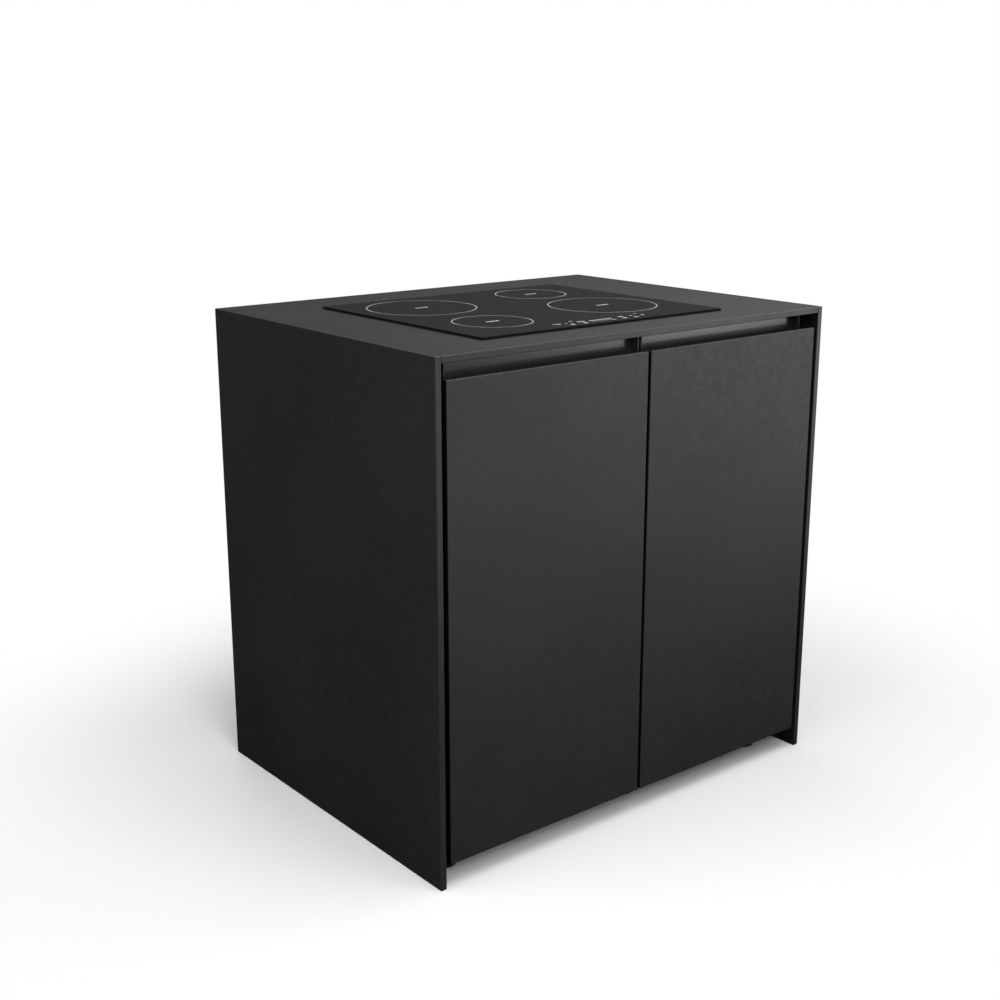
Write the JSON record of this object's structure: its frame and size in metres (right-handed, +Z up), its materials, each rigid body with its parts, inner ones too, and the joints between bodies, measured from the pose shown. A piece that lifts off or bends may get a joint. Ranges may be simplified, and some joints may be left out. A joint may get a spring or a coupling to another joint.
{
  "type": "kitchen unit",
  "caption": "Low free-standing kitchen unit: hinged doors with a finger gap above, side panels down to the floor, worktop with a built-in induction hob.",
  "frame": {"origin": "on the floor, under the middle of the unit's width and depth", "axes": "+X to the right along the doors, +Y from the doors to the wall, +Z up; the doors face -Y"},
  "size_m": [0.92, 0.7, 0.9146],
  "materials": {
    "laminate": "matt anthracite compact laminate",
    "grip_metal": "satin anodised, dark grey",
    "hinge_metal": "black lacquered steel",
    "sheet_metal": "zinc plated",
    "bright_steel": "nickel plated",
    "aluminium": "mill finish",
    "copper": "lacquered copper winding",
    "board_green": "green circuit board",
    "black_plastic": "moulded",
    "foot_plastic": "moulded, fine grain",
    "pale_plastic": "moulded",
    "clear_rubber": "translucent",
    "seal_rubber": "foam",
    "hob_glass": "black glass ceramic with fine white printed rings"
  },
  "bodies": {
    "cabinet": {"side_panel_left": "laminate", "side_panel_right": "laminate", "worktop": "laminate", "bottom_board": "laminate", "back_panel": "laminate", "centre_divider": "laminate", "guard_panel": "laminate", "guard_cleats": "sheet_metal", "shelf_left": "laminate", "shelf_right": "laminate", "shelf_pins": "bright_steel", "worktop_rails": "sheet_metal", "corner_brackets": "sheet_metal", "bracket_screws": "bright_steel", "foot_sockets": "black_plastic", "hinge_plates": "hinge_metal", "hinge_arms": "hinge_metal", "hinge_pins": "bright_steel", "hinge_screws": "bright_steel", "door_catches": "black_plastic", "hob_glass": "hob_glass", "glass_seal": "seal_rubber", "hob_case": "sheet_metal", "coil_rear_left": "copper", "coil_front_left": "copper", "coil_rear_right": "copper", "coil_front_right": "copper", "coil_plate": "aluminium", "power_board": "board_green", "heat_sink": "aluminium", "touch_board": "board_green", "fan_housing": "black_plastic", "terminal_box": "pale_plastic", "cable_gland": "black_plastic", "hob_clamps": "sheet_metal", "clamp_screws": "bright_steel"},
    "door_left": {"door_left_panel": "laminate", "grip_profile_left": "grip_metal", "grip_caps_left": "grip_metal", "hinge_cups_left": "hinge_metal", "door_screws_left": "bright_steel", "strike_plate_left": "sheet_metal", "door_buffers_left": "clear_rubber"},
    "door_right": {"door_right_panel": "laminate", "grip_profile_right": "grip_metal", "grip_caps_right": "grip_metal", "hinge_cups_right": "hinge_metal", "door_screws_right": "bright_steel", "strike_plate_right": "sheet_metal", "door_buffers_right": "clear_rubber"},
    "fan": {"fan_rotor": "black_plastic"},
    "foot_fl": {"foot_front_left": "foot_plastic"},
    "foot_fr": {"foot_front_right": "foot_plastic"},
    "foot_bl": {"foot_back_left": "foot_plastic"},
    "foot_br": {"foot_back_right": "foot_plastic"}
  },
  "joints": [
    {"name": "door_left_hinge", "type": "hinge", "parent": "cabinet", "child": "door_left", "pos_m": [-0.426, -0.335, 0.457], "axis": [0, 0, -1], "range_deg": [0, 105]},
    {"name": "door_right_hinge", "type": "hinge", "parent": "cabinet", "child": "door_right", "pos_m": [0.426, -0.335, 0.457], "axis": [0, 0, 1], "range_deg": [0, 105]},
    {"name": "fan_spin", "type": "hinge", "parent": "cabinet", "child": "fan", "pos_m": [-0.0355, 0.094, 0.869], "axis": [0, 0, 1], "continuous": true},
    {"name": "foot_fl_height", "type": "slide", "parent": "cabinet", "child": "foot_fl", "axis": [0, 0, 1], "range_m": [0, 0.006]},
    {"name": "foot_fr_height", "type": "slide", "parent": "cabinet", "child": "foot_fr", "axis": [0, 0, 1], "range_m": [0, 0.006]},
    {"name": "foot_bl_height", "type": "slide", "parent": "cabinet", "child": "foot_bl", "axis": [0, 0, 1], "range_m": [0, 0.006]},
    {"name": "foot_br_height", "type": "slide", "parent": "cabinet", "child": "foot_br", "axis": [0, 0, 1], "range_m": [0, 0.006]}
  ]
}
